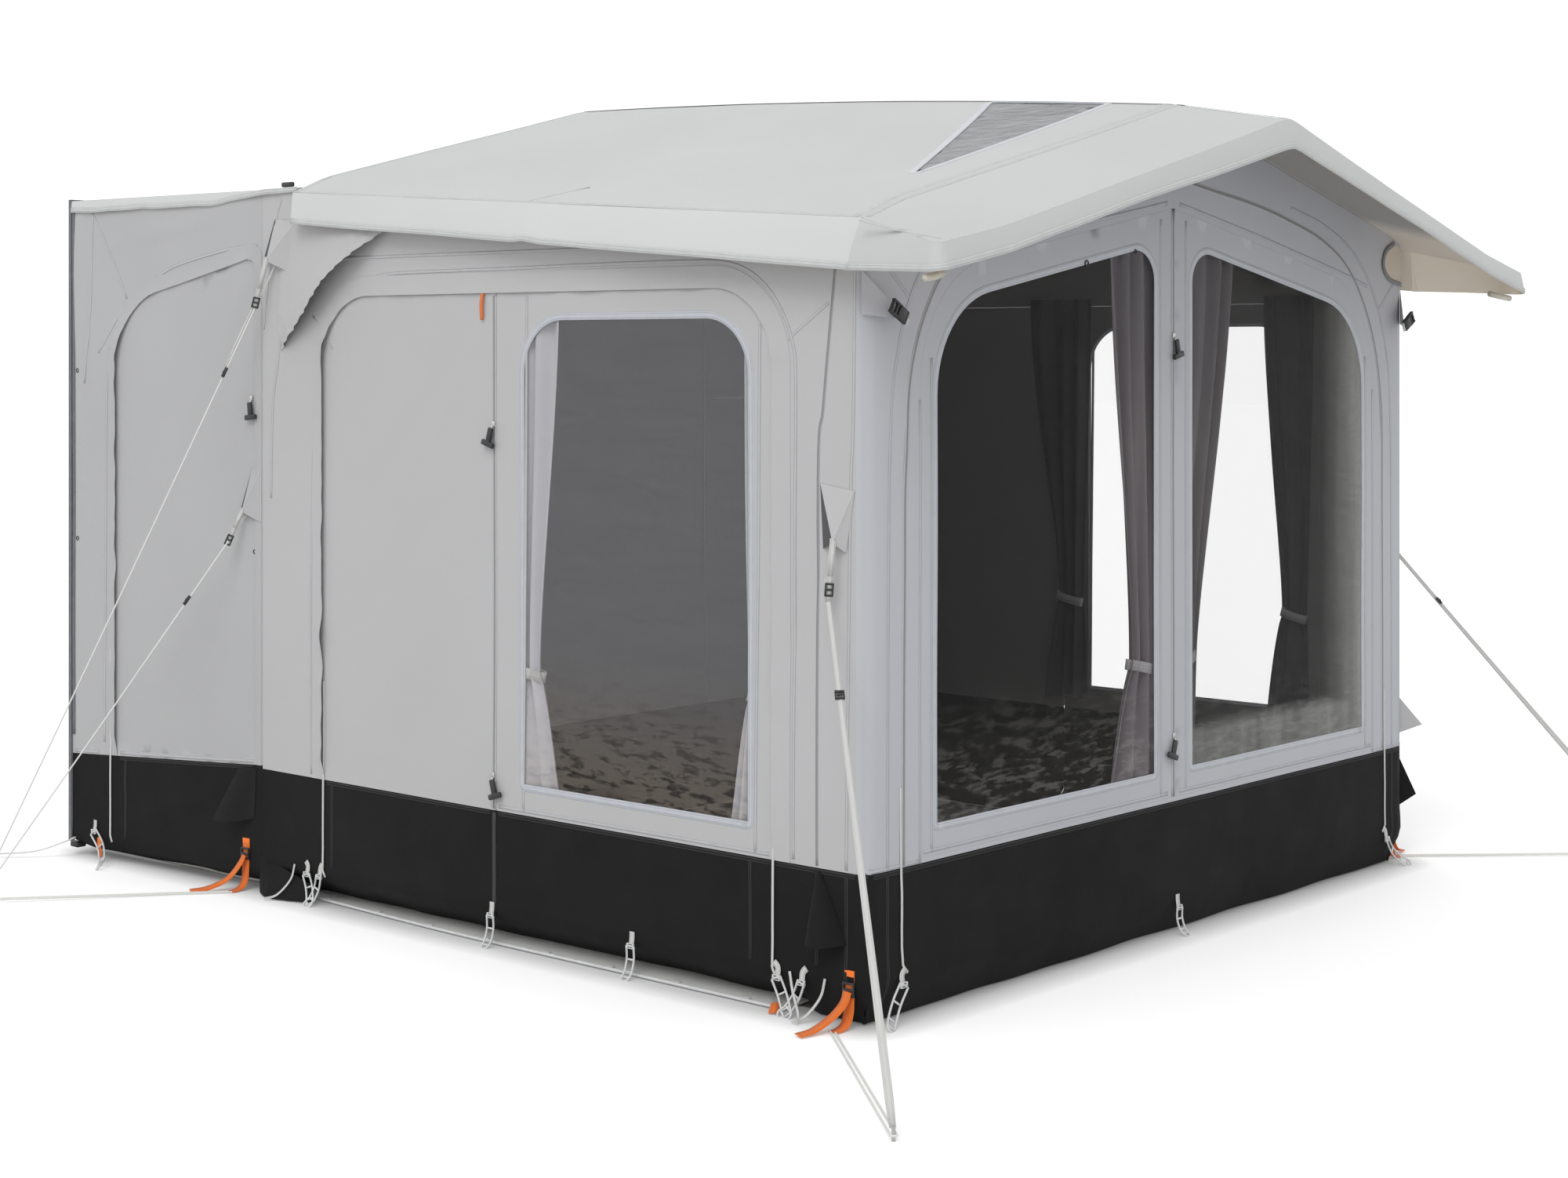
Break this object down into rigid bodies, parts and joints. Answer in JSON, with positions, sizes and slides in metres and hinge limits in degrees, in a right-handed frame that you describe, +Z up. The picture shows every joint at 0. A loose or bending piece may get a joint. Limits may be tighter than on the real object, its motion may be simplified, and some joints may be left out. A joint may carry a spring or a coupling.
{
  "type": "driveaway awning",
  "caption": "Inflatable gabled awning with a visor, clear front and side windows, curtains, zipped doors, guy lines and a tunnel that meets a parked vehicle.",
  "frame": {"origin": "on the ground under the groundsheet, midway across, midway between the visor's tip and the vehicle end", "axes": "+X to the right as seen from the front, +Y from the front towards the vehicle, +Z up"},
  "size_m": [3.8356, 3.9493, 2.365],
  "materials": {
    "wall_cloth": "matt coated polyester",
    "roof_cloth": "matt coated polyester",
    "mud_cloth": "matt coated polyester",
    "clear_film": "glossy flexible film",
    "curtain_cloth": "soft woven",
    "air_tube": "semi-matt sleeve",
    "pole": "satin",
    "edge_rubber": "matt",
    "floor_sheet": "matt coated",
    "black_plastic": "moulded",
    "orange_webbing": "woven webbing",
    "pale_cord": "braided cord"
  },
  "bodies": {
    "shell": {"wall_front": "wall_cloth", "wall_left": "wall_cloth", "wall_right": "wall_cloth", "tunnel_wall_left": "wall_cloth", "tunnel_wall_right": "wall_cloth", "rear_gable": "wall_cloth", "rear_wall": "wall_cloth", "gusset_flap_left": "wall_cloth", "gusset_flap_right": "wall_cloth", "roof_canopy": "roof_cloth", "visor_canopy": "roof_cloth", "tunnel_roof": "roof_cloth", "mud_wall_front": "mud_cloth", "skylight_foil": "clear_film", "air_beam_front": "air_tube", "air_beam_rear": "air_tube", "ridge_strut": "air_tube", "brow_pole": "pole", "peg_front_left": "pole", "vehicle_beading": "edge_rubber", "groundsheet": "floor_sheet", "strap_front_left": "orange_webbing", "strap_front_right": "orange_webbing", "strap_rear_left": "orange_webbing", "guy_front_left": "pale_cord", "guy_front_right": "pale_cord", "guy_rear_left_upper": "pale_cord", "guy_rear_left_lower": "pale_cord", "foot_line_front_left": "pale_cord", "foot_line_front_right": "pale_cord", "foot_line_rear_left": "pale_cord", "tunnel_strap_left": "pale_cord"},
    "front_leaf_left": {"front_panel_left": "wall_cloth", "window_foil_front_left": "clear_film"},
    "front_leaf_right": {"front_panel_right": "wall_cloth", "window_foil_front_right": "clear_film"},
    "door_left": {"door_panel_left": "wall_cloth"},
    "door_right": {"door_panel_right": "wall_cloth"},
    "window_leaf_left": {"window_panel_left": "wall_cloth", "window_foil_left": "clear_film"},
    "window_leaf_right": {"window_panel_right": "wall_cloth", "window_foil_right": "clear_film"},
    "rear_leaf": {"rear_door_panel": "wall_cloth"},
    "tunnel_leaf_left": {"tunnel_door_left": "wall_cloth"},
    "tunnel_leaf_right": {"tunnel_door_right": "wall_cloth"},
    "puller_front_upper_body": {"puller_front_upper": "black_plastic"},
    "puller_front_lower_body": {"puller_front_lower": "black_plastic"},
    "puller_left_upper_body": {"puller_left_upper": "black_plastic"},
    "puller_left_lower_body": {"puller_left_lower": "black_plastic"},
    "puller_tunnel_left_body": {"puller_tunnel_left": "black_plastic"},
    "curtain_front_left_body": {"curtain_front_left": "curtain_cloth"},
    "curtain_front_right_body": {"curtain_front_right": "curtain_cloth"},
    "curtain_left_rear_body": {"curtain_left_rear": "curtain_cloth"},
    "curtain_left_front_body": {"curtain_left_front": "curtain_cloth"},
    "curtain_right_rear_body": {"curtain_right_rear": "curtain_cloth"},
    "curtain_right_front_body": {"curtain_right_front": "curtain_cloth"},
    "slider_front_left_body": {"slider_front_left": "black_plastic"},
    "slider_front_right_body": {"slider_front_right": "black_plastic"},
    "slider_rear_left_upper_body": {"slider_rear_left_upper": "black_plastic"},
    "slider_rear_left_lower_body": {"slider_rear_left_lower": "black_plastic"}
  },
  "joints": [
    {"name": "front_leaf_left_fold", "type": "hinge", "parent": "shell", "child": "front_leaf_left", "pos_m": [-1.1, -1.411, 1.15], "axis": [0, 0, -1], "range_deg": [0, 88]},
    {"name": "front_leaf_right_fold", "type": "hinge", "parent": "shell", "child": "front_leaf_right", "pos_m": [1.1, -1.411, 1.15], "axis": [0, 0, 1], "range_deg": [0, 88]},
    {"name": "door_left_fold", "type": "hinge", "parent": "shell", "child": "door_left", "pos_m": [-1.301, 0.58, 0.9], "axis": [0, 0, -1], "range_deg": [0, 95]},
    {"name": "door_right_fold", "type": "hinge", "parent": "shell", "child": "door_right", "pos_m": [1.301, 0.58, 0.9], "axis": [0, 0, 1], "range_deg": [0, 95]},
    {"name": "window_leaf_left_fold", "type": "hinge", "parent": "shell", "child": "window_leaf_left", "pos_m": [-1.301, -1.12, 0.9], "axis": [0, 0, 1], "range_deg": [0, 90]},
    {"name": "window_leaf_right_fold", "type": "hinge", "parent": "shell", "child": "window_leaf_right", "pos_m": [1.301, -1.12, 0.9], "axis": [0, 0, -1], "range_deg": [0, 90]},
    {"name": "tunnel_leaf_left_fold", "type": "hinge", "parent": "shell", "child": "tunnel_leaf_left", "pos_m": [-1.34393, 1.53648, 0.9], "axis": [0, 0, 1], "range_deg": [0, 95]},
    {"name": "tunnel_leaf_right_fold", "type": "hinge", "parent": "shell", "child": "tunnel_leaf_right", "pos_m": [1.34393, 1.53648, 0.9], "axis": [0, 0, -1], "range_deg": [0, 95]},
    {"name": "rear_leaf_fold", "type": "hinge", "parent": "shell", "child": "rear_leaf", "pos_m": [-0.55, 0.851, 0.9], "axis": [0, 0, -1], "range_deg": [0, 90]},
    {"name": "front_zip_upper", "type": "slide", "parent": "front_leaf_left", "child": "puller_front_upper_body", "axis": [0, 0, 1], "range_m": [-0.95, 0.3]},
    {"name": "front_zip_lower", "type": "slide", "parent": "front_leaf_left", "child": "puller_front_lower_body", "axis": [0, 0, 1], "range_m": [-0.12, 0.08]},
    {"name": "side_zip_upper", "type": "slide", "parent": "door_left", "child": "puller_left_upper_body", "axis": [0, 0, 1], "range_m": [-0.8, 0.3]},
    {"name": "side_zip_lower", "type": "slide", "parent": "door_left", "child": "puller_left_lower_body", "axis": [0, 0, 1], "range_m": [-0.4, 0.08]},
    {"name": "tunnel_zip", "type": "slide", "parent": "tunnel_leaf_left", "child": "puller_tunnel_left_body", "axis": [0, 0, 1], "range_m": [-1.1, 0.36]},
    {"name": "curtain_front_left_draw", "type": "slide", "parent": "shell", "child": "curtain_front_left_body", "axis": [-0.9829, 0, -0.1843], "range_m": [0, 0.6]},
    {"name": "curtain_front_right_draw", "type": "slide", "parent": "shell", "child": "curtain_front_right_body", "axis": [0.9829, 0, -0.1843], "range_m": [0, 0.6]},
    {"name": "curtain_left_rear_draw", "type": "slide", "parent": "shell", "child": "curtain_left_rear_body", "axis": [0, -1, 0], "range_m": [0, 0.25]},
    {"name": "curtain_left_front_draw", "type": "slide", "parent": "shell", "child": "curtain_left_front_body", "axis": [0, 1, 0], "range_m": [0, 0.25]},
    {"name": "curtain_right_rear_draw", "type": "slide", "parent": "shell", "child": "curtain_right_rear_body", "axis": [0, -1, 0], "range_m": [0, 0.25]},
    {"name": "curtain_right_front_draw", "type": "slide", "parent": "shell", "child": "curtain_right_front_body", "axis": [0, 1, 0], "range_m": [0, 0.25]},
    {"name": "guy_front_left_adjust", "type": "slide", "parent": "shell", "child": "slider_front_left_body", "axis": [-0.4249, -0.4945, -0.7582], "range_m": [-0.25, 0.6]},
    {"name": "guy_front_right_adjust", "type": "slide", "parent": "shell", "child": "slider_front_right_body", "axis": [0.4249, -0.4945, -0.7582], "range_m": [-0.25, 0.6]},
    {"name": "guy_rear_upper_adjust", "type": "slide", "parent": "shell", "child": "slider_rear_left_upper_body", "axis": [-0.3163, 0.2749, -0.908], "range_m": [-0.25, 0.9]},
    {"name": "guy_rear_lower_adjust", "type": "slide", "parent": "shell", "child": "slider_rear_left_lower_body", "axis": [-0.4733, 0.3155, -0.8225], "range_m": [-0.22, 0.6]}
  ]
}
